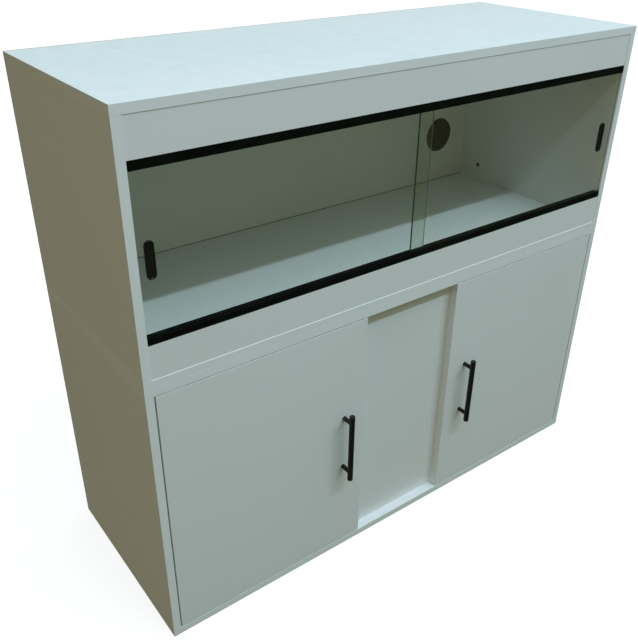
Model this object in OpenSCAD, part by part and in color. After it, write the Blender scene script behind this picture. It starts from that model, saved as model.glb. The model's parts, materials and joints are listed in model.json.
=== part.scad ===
// Glass-fronted wooden vivarium standing on a matching two-door cabinet.
// The frame: X to the right, Y to the back, Z up, millimetres. The origin is
// on the floor, at the middle of the width and of the depth over the handles.
// The front faces -Y. "Depth" values below count backwards from the front face.

/* [Overall] */
// Overall width of both units
width = 1200; // [1100:10:1300]
// Depth of the boards, without the thin back panels
board_depth = 447; // [420:1:480]
// Thickness of every board
board_t = 16; // [15:1:18]
// Thickness of the hardboard back panels
back_t = 3; // [3:0.5:4]
// Height of the cabinet that carries the vivarium
cabinet_h = 600; // [560:5:650]
// Height of the vivarium
vivarium_h = 464; // [440:2:500]

/* [Vivarium front] */
// Height of the fascia board above the glass
top_fascia_h = 64.5; // [60:0.5:72]
// Height of the fascia board below the glass
bottom_fascia_h = 64.5; // [60:0.5:72]
// How far the fascias and tracks stand back from the front face
fascia_setback = 1; // [0.5:0.5:2]
// Height of the upper glass track
top_track_h = 16; // [14:0.5:17]
// Height of the lower glass track
bottom_track_h = 13.5; // [10:0.5:15]
// Width of each sliding pane
pane_w = 603; // [590:1:620]
// Thickness of the glass
glass_t = 4; // [4:0.5:4.5]
// Length of a finger pull
pull_l = 66; // [50:1:80]
// Width of a finger pull
pull_w = 17; // [14:1:20]
// From the left pane's outer edge to the middle of its pull
left_pull_inset = 23; // [20:1:60]
// From the right pane's outer edge to the middle of its pull
right_pull_inset = 36; // [20:1:60]

/* [Vivarium openings] */
// Diameter of the vent's flange
vent_d = 88; // [80:1:100]
// The vent's place to the right of the middle
vent_x = 483; // [300:1:500]
// The vent's height above the vivarium's underside
vent_h = 141; // [100:1:200]
// Diameter of the cable hole in the right side
cable_hole_d = 12; // [8:1:20]
// Depth of the cable hole
cable_hole_depth = 385; // [300:1:400]
// Height of the cable hole above the vivarium's underside
cable_hole_h = 56; // [40:1:100]

/* [Doors] */
// Width of the open centre bay between the doors
centre_gap = 250; // [200:2:300]
// Gap at each door's hinge side
hinge_gap = 3; // [3:0.25:4]
// Gap above and below each door
door_gap = 2; // [1.5:0.5:3]
// How far the fixed centre panel stands back
recess = 21.5; // [20:0.5:30]
// How far the centre panel reaches behind each door
panel_overlap = 20; // [15:1:25]

/* [Handles] */
// Distance between a handle's posts
post_pitch = 128; // [96:32:160]
// Length of the handle bar
bar_l = 168; // [150:2:200]
// Diameter of the handle bar
bar_d = 12; // [10:1:14]
// Distance from the door to the middle of the bar
bar_stand_off = 26; // [24:1:32]
// Handle's distance from the door's free edge
handle_inset = 52; // [40:1:60]
// Height of the handle's middle
handle_z = 297; // [280:1:320]

/* [Hinges] */
// Diameter of the hinge cup
cup_d = 35; // [35:1:36]
// Depth of the hinge cup in the door
cup_depth = 12; // [11:0.5:12.5]
// From the door's end to the middle of a hinge
hinge_end = 90; // [80:1:120]

/* [Hidden] */
$fn = 64;
EPS = 0.01;
half_w = width / 2;
handle_reach = bar_stand_off + bar_d / 2;
full_depth = board_depth + back_t;
front_y = handle_reach - (full_depth + handle_reach) / 2;
inner_half = half_w - board_t;
total_h = cabinet_h + vivarium_h;
floor_top = cabinet_h + board_t;
roof_z = total_h - board_t;
cabinet_roof = cabinet_h - board_t;

// Vivarium front
fascia_h = [bottom_fascia_h, top_fascia_h];
fascia_z = [floor_top, roof_z - top_fascia_h];
bottom_track_z = floor_top + bottom_fascia_h;
top_track_z = roof_z - top_fascia_h - top_track_h;
track_wall = 1.6;
groove_w = 5;
track_web = 2;
groove_mid = fascia_setback + track_wall + groove_w / 2;
groove_pitch = board_t - 2 * track_wall - groove_w;
pane_lift = 0.2;
pane_z = bottom_track_z + track_web + pane_lift;
pane_bite = 3.6;
pane_h = top_track_z + pane_bite - pane_z;
pane_end_gap = 1;
pane_r = 1;
pull_t = 2.8;
pull_rim = 3;
pull_floor = 1;
left_pull_z = 822;
right_pull_z = 829;
front_pane_depth = groove_mid - glass_t / 2;
rear_pane_depth = front_pane_depth + groove_pitch;

// Vent: a flange, a short collar through the back panel, and upright blades
// that each stand proud at the right edge, like a louvre turned on its side
vent_bore_d = vent_d - 12;
vent_flange_t = 2.5;
vent_collar_t = 2;
vent_inner_d = vent_bore_d - 2 * vent_collar_t;
blade_count = 4;
blade_pitch = vent_inner_d / blade_count;
blade_w = blade_pitch + 0.8;
blade_t = 1.2;
blade_turn = -12;
vent_z = cabinet_h + vent_h;
cable_hole_z = cabinet_h + cable_hole_h;

// Doors
door_w = inner_half - hinge_gap - centre_gap / 2;
door_z = board_t + door_gap;
door_h = cabinet_roof - door_gap - door_z;
door_x = -inner_half + hinge_gap;
panel_half = centre_gap / 2 + panel_overlap;
hinge_z = [door_z + hinge_end, door_z + door_h - hinge_end];
stop_gap = 0.3;

// Handles
post_d = 9.5;
spigot_d = 5;
spigot_l = 4;
bar_chamfer = 1;
handle_screw_d = 4;
handle_screw_bite = 10;
screw_head_d = 8;
screw_head_h = 2.4;
handle_x = -centre_gap / 2 - handle_inset;

// Hinges: u counts from the door's hinged edge, depth from its front face
pivot_u = 17;
pivot_depth = 8.5;
pivot_d = 3;
pivot_clearance = 0.05;
eye_d = 6.4;
cup_u = cup_d / 2 + 4;
cup_wall = 1.5;
cup_floor = 1;
ear_t = 1.2;
ear_pitch = 48;
ear_u = cup_u + 6;
ear_end = 7;
lug_gap = 6;
lug_t = 3.4;
lug_w = 8;
arm_h = 10;
arm_t = 2.4;
plate_t = 3;
plate_depth = [30, 76];
plate_h = 44;
plate_screw_pitch = 32;
plate_screw_depth = 53;
arm_screw_depth = 66;

// Hinge and joining screws: shank and head diameters, lengths and head heights
plate_screw_d = 4;
plate_screw_bite = 11;
plate_head_d = 7.6;
plate_head_h = 1.6;
arm_head_d = 6;
arm_head_h = 1.4;
cup_screw_d = 3.2;
cup_screw_tip = 5;
cup_head_d = 6;
cup_head_h = 1.4;
joining_screw_d = 4;
joining_screw_l = 28;
joining_head_h = 2.2;
joining_screw_x = 380;
joining_screw_depths = [100, 380];
// The arm leaves the cup towards the door's free side, then bends back
// round the sweep of the hinged edge to lie flat on the plate.
arm_path = [[pivot_u, pivot_depth], [29.6, 16.7], [33.1, 23], [26.5, 28.9],
            [17, 32.5], [arm_t / 2, 36], [arm_t / 2, 72]];

// Wooden dowels that hold the boards together
dowel_d = 8;
dowel_l = 30;
dowel_short = 10;
side_dowel_depths = [60, 230, 400];
fascia_dowel_x = [-380, 0, 380];
divider_dowel_depths = [90, 240, 400];
rail_mid = board_t / 2;

// Nails round the hardboard backs
nail_d = 2;
nail_l = 20;
nail_head_d = 5;
nail_head_t = 1;
nail_columns = 5;
nail_rows = 3;

// ---- helpers -------------------------------------------------------------

// A block from its ranges in X, in depth behind the front face, and in Z
module block(x, depth, z) {
    translate([x[0], front_y + depth[0], z[0]])
        cube([x[1] - x[0], depth[1] - depth[0], z[1] - z[0]]);
}

module rod_x(x, depth, z, d, l) {
    translate([x, front_y + depth, z]) rotate([0, 90, 0]) cylinder(d = d, h = l, center = true);
}

module rod_y(x, depth, z, d, l) {
    translate([x, front_y + depth, z]) rotate([-90, 0, 0]) cylinder(d = d, h = l);
}

module rod_z(x, depth, z, d, l) {
    translate([x, front_y + depth, z]) cylinder(d = d, h = l);
}

module both_sides() {
    children();
    mirror([1, 0, 0]) children();
}

// A flat outline with round ends, standing along Y
module stadium(l, w) {
    square([w, l - w], center = true);
    for (end = [-1, 1]) translate([0, end * (l - w) / 2]) circle(d = w);
}

// ---- fasteners, drawn as solids and also cut out of the boards -------------

module vivarium_dowel_set() {
    both_sides() {
        for (depth = side_dowel_depths) {
            rod_z(half_w - rail_mid, depth, roof_z + dowel_short - dowel_l, dowel_d, dowel_l);
            rod_z(half_w - rail_mid, depth, floor_top - dowel_short, dowel_d, dowel_l);
        }
        for (i = [0, 1], end = [1 / 4, 3 / 4])
            rod_x(inner_half + dowel_short - dowel_l / 2, fascia_setback + rail_mid,
                  fascia_z[i] + end * fascia_h[i], dowel_d, dowel_l);
    }
    for (x = fascia_dowel_x) {
        rod_z(x, fascia_setback + rail_mid, roof_z + dowel_short - dowel_l, dowel_d, dowel_l);
        rod_z(x, fascia_setback + rail_mid, floor_top - dowel_short, dowel_d, dowel_l);
    }
}

module cabinet_dowel_set() {
    both_sides() {
        for (depth = side_dowel_depths) {
            rod_z(half_w - rail_mid, depth, cabinet_roof + dowel_short - dowel_l, dowel_d, dowel_l);
            rod_x(inner_half + dowel_short - dowel_l / 2, depth, rail_mid, dowel_d, dowel_l);
        }
        for (depth = divider_dowel_depths) {
            rod_z(panel_half - rail_mid, depth, cabinet_roof + dowel_short - dowel_l, dowel_d, dowel_l);
            rod_z(panel_half - rail_mid, depth, board_t - dowel_short, dowel_d, dowel_l);
        }
        rod_z(panel_half / 2, recess + rail_mid, cabinet_roof + dowel_short - dowel_l, dowel_d, dowel_l);
        rod_z(panel_half / 2, recess + rail_mid, board_t - dowel_short, dowel_d, dowel_l);
    }
}

// A nail driven forwards, with its flat head let in flush with the back panel
module nail(x, z) {
    rod_y(x, full_depth - nail_l, z, nail_d, nail_l - nail_head_t);
    rod_y(x, full_depth - nail_head_t, z, nail_head_d, nail_head_t);
}

// Nails along all four edges of a back panel
module nail_frame(z_low, z_high) {
    half_x = half_w - rail_mid;
    span_z = z_high - z_low - 2 * rail_mid;
    for (z = [z_low + rail_mid, z_high - rail_mid], i = [0 : nail_columns - 1])
        nail(-half_x + half_x * 2 * (i + 0.5) / nail_columns, z);
    for (x = [-half_x, half_x], i = [0 : nail_rows - 1])
        nail(x, z_low + rail_mid + span_z * (i + 0.5) / nail_rows);
}

module joining_screw(x, depth) {
    rod_z(x, depth, cabinet_roof, joining_screw_d, joining_screw_l);
    rod_z(x, depth, cabinet_roof - joining_head_h, screw_head_d, joining_head_h);
}

module joining_screw_set() {
    both_sides() for (depth = joining_screw_depths) joining_screw(joining_screw_x, depth);
}

// ---- vivarium --------------------------------------------------------------

module vivarium_top() {
    color("#dfe8ea") difference() {
        block([-half_w, half_w], [0, board_depth], [roof_z, total_h]);
        vivarium_dowel_set();
        nail_frame(cabinet_h, total_h);
    }
}

module vivarium_side() {
    difference() {
        block([inner_half, half_w], [0, board_depth], [floor_top, roof_z]);
        vivarium_dowel_set();
        nail_frame(cabinet_h, total_h);
    }
}

module vivarium_left_side() {
    color("#d9dedc") mirror([1, 0, 0]) vivarium_side();
}

module vivarium_right_side() {
    color("#d9dedc") difference() {
        vivarium_side();
        rod_x(half_w - rail_mid, cable_hole_depth, cable_hole_z, cable_hole_d, board_t + 2);
    }
}

module vivarium_floor() {
    color("#dfe8ea") difference() {
        block([-half_w, half_w], [0, board_depth], [cabinet_h, floor_top]);
        vivarium_dowel_set();
        nail_frame(cabinet_h, total_h);
        joining_screw_set();
    }
}

module vivarium_back() {
    color("#cfd6d3") difference() {
        block([-half_w, half_w], [board_depth, full_depth], [cabinet_h, total_h]);
        rod_y(vent_x, board_depth - 1, vent_z, vent_bore_d, back_t + 2);
        nail_frame(cabinet_h, total_h);
    }
}

module fascia(i) {
    difference() {
        block([-inner_half, inner_half], [fascia_setback, fascia_setback + board_t],
              [fascia_z[i], fascia_z[i] + fascia_h[i]]);
        vivarium_dowel_set();
    }
}

module top_fascia() {
    color("#d5dadb") fascia(1);
}

module bottom_fascia() {
    color("#d5dadb") fascia(0);
}

// A twin-groove track whose grooves open upwards from its underside at z = 0
module glass_track(h) {
    difference() {
        block([-inner_half, inner_half], [fascia_setback, fascia_setback + board_t], [0, h]);
        for (i = [0, 1])
            block([-inner_half - 1, inner_half + 1],
                  [groove_mid - groove_w / 2 + i * groove_pitch, groove_mid + groove_w / 2 + i * groove_pitch],
                  [track_web, h + 1]);
    }
}

module bottom_glass_track() {
    color("#15191a") translate([0, 0, bottom_track_z]) glass_track(bottom_track_h);
}

module top_glass_track() {
    color("#15191a") translate([0, 0, top_track_z + top_track_h]) mirror([0, 0, 1]) glass_track(top_track_h);
}

// A pane from its left edge, standing in the groove at the given depth
module pane(x, depth) {
    translate([x, front_y + depth + glass_t, pane_z]) rotate([90, 0, 0]) linear_extrude(glass_t) {
        translate([pane_r, 0]) square([pane_w - 2 * pane_r, pane_h]);
        translate([0, pane_r]) square([pane_w, pane_h - 2 * pane_r]);
        for (cx = [pane_r, pane_w - pane_r], cz = [pane_r, pane_h - pane_r]) translate([cx, cz]) circle(pane_r);
    }
}

module left_glass() {
    color("#8fb5a8", 0.35) pane(-inner_half + pane_end_gap, rear_pane_depth);
}

module right_glass() {
    color("#8fb5a8", 0.35) pane(inner_half - pane_end_gap - pane_w, front_pane_depth);
}

// A stuck-on pull with a dished middle, whose back lies on the glass
module finger_pull(x, glass_depth, z) {
    translate([x, front_y + glass_depth, z]) rotate([90, 0, 0]) difference() {
        linear_extrude(pull_t) stadium(pull_l, pull_w);
        translate([0, 0, pull_floor]) linear_extrude(pull_t)
            stadium(pull_l - 2 * pull_rim, pull_w - 2 * pull_rim);
    }
}

module left_finger_pull() {
    color("#101314") finger_pull(-inner_half + pane_end_gap + left_pull_inset, rear_pane_depth, left_pull_z);
}

module right_finger_pull() {
    color("#101314") finger_pull(inner_half - pane_end_gap - right_pull_inset, front_pane_depth, right_pull_z);
}

// The blades run into the collar's wall, which they are cut to
module vent_blades() {
    middle = (back_t - vent_flange_t) / 2;
    intersection() {
        rotate([90, 0, 0]) cylinder(d = vent_inner_d + vent_collar_t, h = 4 * blade_pitch, center = true);
        translate([0, middle, 0]) for (i = [0 : blade_count - 1])
            translate([(i + 0.5) * blade_pitch - vent_inner_d / 2, 0, 0]) rotate([0, 0, blade_turn])
                cube([blade_w, blade_t, vent_bore_d], center = true);
    }
}

module round_vent() {
    color("#15191a") translate([vent_x, front_y + board_depth, vent_z]) {
        rotate([90, 0, 0]) rotate_extrude()
            polygon([[vent_bore_d / 2 - vent_collar_t, -back_t], [vent_bore_d / 2, -back_t],
                     [vent_bore_d / 2, 0], [vent_d / 2, 0], [vent_d / 2, vent_flange_t - 1],
                     [vent_d / 2 - 2, vent_flange_t], [vent_bore_d / 2 - vent_collar_t, vent_flange_t]]);
        vent_blades();
    }
}

module vivarium_dowels() {
    color("burlywood") vivarium_dowel_set();
}

module vivarium_back_nails() {
    color("silver") nail_frame(cabinet_h, total_h);
}

// ---- cabinet ---------------------------------------------------------------

module cabinet_top() {
    color("#dfe8ea") difference() {
        block([-half_w, half_w], [0, board_depth], [cabinet_roof, cabinet_h]);
        cabinet_dowel_set();
        nail_frame(0, cabinet_h);
        joining_screw_set();
    }
}

module plate_screw_set() {
    for (z = hinge_z, end = [-1, 1])
        plate_screw(z + end * plate_screw_pitch / 2);
}

// A screw that lies along X, with its head inside the cabinet
module plate_screw(z) {
    translate([-inner_half, front_y + plate_screw_depth, z]) rotate([0, 90, 0]) {
        translate([0, 0, -plate_screw_bite]) cylinder(d = plate_screw_d, h = plate_screw_bite + plate_t);
        translate([0, 0, plate_t]) cylinder(d = plate_head_d, h = plate_head_h);
    }
}

module cabinet_left_side() {
    color("#d9dedc") difference() {
        block([-half_w, -inner_half], [0, board_depth], [0, cabinet_roof]);
        cabinet_dowel_set();
        nail_frame(0, cabinet_h);
        plate_screw_set();
    }
}

module cabinet_right_side() {
    mirror([1, 0, 0]) cabinet_left_side();
}

module cabinet_floor() {
    color("#dfe8ea") difference() {
        block([-inner_half, inner_half], [0, board_depth], [0, board_t]);
        cabinet_dowel_set();
        nail_frame(0, cabinet_h);
    }
}

module cabinet_back() {
    color("#cfd6d3") difference() {
        block([-half_w, half_w], [board_depth, full_depth], [0, cabinet_h]);
        nail_frame(0, cabinet_h);
    }
}

module centre_panel() {
    color("#d5dadb") difference() {
        block([-panel_half, panel_half], [recess, recess + board_t], [board_t, cabinet_roof]);
        cabinet_dowel_set();
    }
}

module left_divider() {
    color("#d5dadb") difference() {
        block([-panel_half, -panel_half + board_t], [recess + board_t, board_depth], [board_t, cabinet_roof]);
        cabinet_dowel_set();
    }
}

module right_divider() {
    mirror([1, 0, 0]) left_divider();
}

module cabinet_dowels() {
    color("burlywood") cabinet_dowel_set();
}

module cabinet_back_nails() {
    color("silver") nail_frame(0, cabinet_h);
}

module unit_joining_screws() {
    color("silver") joining_screw_set();
}

module door_stops() {
    color("#d5dadb") both_sides()
        block([panel_half - panel_overlap, panel_half], [board_t + stop_gap, recess], [board_t, cabinet_roof]);
}

// ---- left door, its handle and its hinges; the right ones are mirrored ------

module handle_screw_holes() {
    for (end = [-1, 1])
        rod_y(handle_x, -EPS, handle_z + end * post_pitch / 2, handle_screw_d, board_t + 2 * EPS);
}

module cup_place(z) {
    translate([door_x + cup_u, front_y + board_t, z]) rotate([90, 0, 0]) children();
}

module left_door() {
    color("#d5dadb") difference() {
        block([door_x, door_x + door_w], [0, board_t], [door_z, door_z + door_h]);
        handle_screw_holes();
        for (z = hinge_z) cup_place(z) translate([0, 0, -1]) cylinder(d = cup_d, h = cup_depth + 1);
        left_cup_screws();
    }
}

module bar_solid() {
    translate([handle_x, front_y - bar_stand_off, handle_z - bar_l / 2]) rotate_extrude()
        polygon([[0, 0], [bar_d / 2 - bar_chamfer, 0], [bar_d / 2, bar_chamfer],
                 [bar_d / 2, bar_l - bar_chamfer], [bar_d / 2 - bar_chamfer, bar_l], [0, bar_l]]);
}

module post_spigots() {
    for (end = [-1, 1])
        rod_y(handle_x, -bar_stand_off - spigot_l / 2, handle_z + end * post_pitch / 2, spigot_d,
              bar_stand_off / 2);
}

module left_handle_bar() {
    color("#0f1213") difference() {
        bar_solid();
        post_spigots();
    }
}

module left_handle_posts() {
    color("#0f1213") difference() {
        union() {
            difference() {
                for (end = [-1, 1])
                    rod_y(handle_x, -bar_stand_off, handle_z + end * post_pitch / 2, post_d, bar_stand_off);
                bar_solid();
            }
            post_spigots();
        }
        left_handle_screws();
    }
}

module left_handle_screws() {
    color("silver") for (end = [-1, 1]) {
        z = handle_z + end * post_pitch / 2;
        rod_y(handle_x, -handle_screw_bite, z, handle_screw_d, handle_screw_bite + board_t);
        rod_y(handle_x, board_t, z, screw_head_d, screw_head_h);
    }
}

// The cup with its flange of two ears, and two lugs that hold the pivot pin
module left_hinge_cups() {
    color("silver") for (z = hinge_z) {
        difference() {
            union() {
                cup_place(z) cylinder(d = cup_d, h = cup_depth);
                cup_place(z) translate([0, 0, -ear_t]) linear_extrude(ear_t) cup_flange();
            }
            cup_place(z) translate([0, 0, -2 * ear_t])
                cylinder(d = cup_d - 2 * cup_wall, h = cup_depth - cup_floor + 2 * ear_t);
            left_cup_screws();
        }
        for (end = [-1, 1]) pivot_lug(z, end);
    }
}

module cup_flange() {
    half_u = cup_d / 2 - 1;
    translate([-half_u, -cup_d / 2]) square([2 * half_u, cup_d]);
    for (end = [-1, 1]) translate([ear_u - cup_u, end * ear_pitch / 2]) {
        circle(r = ear_end);
        translate([-ear_end, end < 0 ? 0 : -ear_end]) square([2 * ear_end, ear_end]);
    }
}

module pivot_lug(z, end) {
    low = end < 0 ? z - lug_gap - lug_t : z + lug_gap;
    floor_depth = board_t - cup_depth + cup_floor;
    difference() {
        block([door_x + pivot_u - lug_w / 2, door_x + pivot_u + lug_w / 2],
              [floor_depth, pivot_depth + lug_w / 2], [low, low + lug_t]);
        left_hinge_pins();
    }
}

module left_hinge_pins() {
    color("silver") for (z = hinge_z)
        rod_z(door_x + pivot_u, pivot_depth, z - lug_gap - lug_t, pivot_d, 2 * (lug_gap + lug_t));
}

module left_cup_screws() {
    color("silver") for (z = hinge_z, end = [-1, 1]) {
        rod_y(door_x + ear_u, cup_screw_tip, z + end * ear_pitch / 2, cup_screw_d,
              board_t - cup_screw_tip + ear_t);
        rod_y(door_x + ear_u, board_t + ear_t, z + end * ear_pitch / 2, cup_head_d, cup_head_h);
    }
}

// The outline of a strip of even thickness that follows a path, with mitred corners
function unit(v) = v / norm(v);
function left_of(v) = [-v[1], v[0]];
function strip_corner(path, i, h) =
    let (here = unit(path[min(i + 1, len(path) - 1)] - path[min(i, len(path) - 2)]),
         before = unit(path[max(i, 1)] - path[max(i - 1, 0)]),
         n = unit(left_of(before) + left_of(here)))
    path[i] + n * h / (n * left_of(before));
function strip(path, t) = concat(
    [for (i = [0 : len(path) - 1]) strip_corner(path, i, t / 2)],
    [for (i = [len(path) - 1 : -1 : 0]) strip_corner(path, i, -t / 2)]);

module left_hinge_arms() {
    color("silver") for (z = hinge_z) difference() {
        translate([door_x, front_y, z - arm_h / 2]) {
            linear_extrude(arm_h) polygon(strip(arm_path, arm_t));
            translate(arm_path[0]) cylinder(d = eye_d, h = arm_h);
        }
        rod_z(door_x + pivot_u, pivot_depth, z - arm_h, pivot_d + 2 * pivot_clearance, 2 * arm_h);
    }
}

module left_hinge_plates() {
    color("silver") for (z = hinge_z) difference() {
        block([-inner_half, -inner_half + plate_t], plate_depth, [z - plate_h / 2, z + plate_h / 2]);
        plate_screw_set();
    }
}

module left_plate_screws() {
    color("silver") {
        plate_screw_set();
        for (z = hinge_z) arm_screw_head(z);
    }
}

// The head of the screw that holds an arm to its plate
module arm_screw_head(z) {
    translate([-inner_half + plate_t + arm_t, front_y + arm_screw_depth, z]) rotate([0, 90, 0])
        cylinder(d = arm_head_d, h = arm_head_h);
}

module right_door() { mirror([1, 0, 0]) left_door(); }
module right_handle_bar() { mirror([1, 0, 0]) left_handle_bar(); }
module right_handle_posts() { mirror([1, 0, 0]) left_handle_posts(); }
module right_handle_screws() { mirror([1, 0, 0]) left_handle_screws(); }
module right_hinge_cups() { mirror([1, 0, 0]) left_hinge_cups(); }
module right_hinge_pins() { mirror([1, 0, 0]) left_hinge_pins(); }
module right_cup_screws() { mirror([1, 0, 0]) left_cup_screws(); }
module right_hinge_arms() { mirror([1, 0, 0]) left_hinge_arms(); }
module right_hinge_plates() { mirror([1, 0, 0]) left_hinge_plates(); }
module right_plate_screws() { mirror([1, 0, 0]) left_plate_screws(); }

vivarium_top();
vivarium_left_side();
vivarium_right_side();
vivarium_floor();
vivarium_back();
top_fascia();
bottom_fascia();
top_glass_track();
bottom_glass_track();
left_glass();
right_glass();
left_finger_pull();
right_finger_pull();
round_vent();
vivarium_dowels();
vivarium_back_nails();
cabinet_top();
cabinet_left_side();
cabinet_right_side();
cabinet_floor();
cabinet_back();
centre_panel();
left_divider();
right_divider();
cabinet_dowels();
cabinet_back_nails();
unit_joining_screws();
door_stops();
left_door();
left_handle_bar();
left_handle_posts();
left_handle_screws();
left_hinge_cups();
left_hinge_pins();
left_cup_screws();
left_hinge_arms();
left_hinge_plates();
left_plate_screws();
right_door();
right_handle_bar();
right_handle_posts();
right_handle_screws();
right_hinge_cups();
right_hinge_pins();
right_cup_screws();
right_hinge_arms();
right_hinge_plates();
right_plate_screws();
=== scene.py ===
"""Looks for the glass-fronted vivarium on its two-door cabinet.

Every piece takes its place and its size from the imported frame, in metres:
X to the right, Y to the back, Z up, with the front facing -Y.
"""

import json
import math

import bmesh
import bpy
from mathutils import Matrix, Vector


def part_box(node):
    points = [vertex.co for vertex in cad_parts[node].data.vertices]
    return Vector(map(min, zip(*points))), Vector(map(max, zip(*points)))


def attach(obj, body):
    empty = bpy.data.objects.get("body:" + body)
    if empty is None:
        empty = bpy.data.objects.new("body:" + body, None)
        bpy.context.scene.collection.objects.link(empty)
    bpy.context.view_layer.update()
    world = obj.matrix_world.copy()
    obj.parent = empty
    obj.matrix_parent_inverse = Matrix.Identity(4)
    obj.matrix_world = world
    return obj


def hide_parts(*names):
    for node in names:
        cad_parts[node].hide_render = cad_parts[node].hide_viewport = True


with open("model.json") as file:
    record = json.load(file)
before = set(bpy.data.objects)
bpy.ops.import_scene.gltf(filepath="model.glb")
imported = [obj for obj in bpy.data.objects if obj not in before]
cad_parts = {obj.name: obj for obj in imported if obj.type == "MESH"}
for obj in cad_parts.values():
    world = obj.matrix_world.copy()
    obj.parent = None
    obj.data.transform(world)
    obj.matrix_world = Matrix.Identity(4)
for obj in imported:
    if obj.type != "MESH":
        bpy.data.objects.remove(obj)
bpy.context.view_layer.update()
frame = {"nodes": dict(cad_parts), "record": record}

MM = 0.001
X, Y, Z = 0, 1, 2
BODY_OF = {node: body for body, nodes in frame["record"]["behaviour"]["bodies"].items()
           for node in nodes}

# Faces of a box, as (axis, side)
FRONT, LEFT, RIGHT, TOP, BOTTOM = (Y, -1), (X, -1), (X, 1), (Z, 1), (Z, -1)

# Boards
EDGING_T = 0.8 * MM
EDGING_ROUND = 0.3 * MM
CORE_ROUND = 0.12 * MM
HARDBOARD_ROUND = 0.1 * MM
HOLE_OVERSHOOT = 5.0 * MM
JOINT_SHADOW_LOW, JOINT_SHADOW_HIGH = 0.6150, 0.6182      # heights of the painted shadow line along the vivarium's floor
DUST_HEIGHT = 0.05

# Glass tracks and panes
TRACK_WALL = 1.6 * MM
TRACK_WEB = 2.0 * MM
GROOVE = 5.0 * MM
TIP_ROUND = 0.7 * MM
TRACK_ROUND = 0.35 * MM
PANE_ARRIS = 0.5 * MM
PANE_CORNER = 2.0 * MM

# Round vent
VENT_FLANGE_R = 44.0 * MM
VENT_COLLAR_R = 38.0 * MM
VENT_OPENING_R = 36.0 * MM
VENT_BLADES = 4
VENT_BLADE_T = 1.2 * MM
VENT_BLADE_TURN = math.radians(-12)
VENT_BLADE_OVERLAP = 0.8 * MM

# Hinges and fasteners
CUP_R = 17.5 * MM
CUP_DEPTH = 12.0 * MM
SCREW_PITCH = 1.25 * MM
SCREW_TIP = 2.5 * MM
SCREW_ROOT = 0.82                           # share of the crest's radius
NAIL_POINT = 2.5 * MM
NAIL_NECK = 1.0 * MM
NAIL_HEAD_T = 0.4 * MM
NAIL_DOME = 0.25 * MM
DOWEL_FLUTES = 14
DOWEL_CHAMFER = 1.0 * MM

# Meshes
MERGE = 1e-6
SHARP_FROM = math.radians(40)
BEVEL_FROM = math.radians(35)
SAME_PLANE = math.radians(0.5)


def math_node(tree, operation, a, b):
    """The result of a math node on two numbers or sockets."""
    node = tree.nodes.new("ShaderNodeMath")
    node.operation = operation
    for socket, value in zip(node.inputs, (a, b)):
        if isinstance(value, (int, float)):
            socket.default_value = value
        else:
            tree.links.new(value, socket)
    return node.outputs["Value"]


# ---- materials ------------------------------------------------------------------

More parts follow.
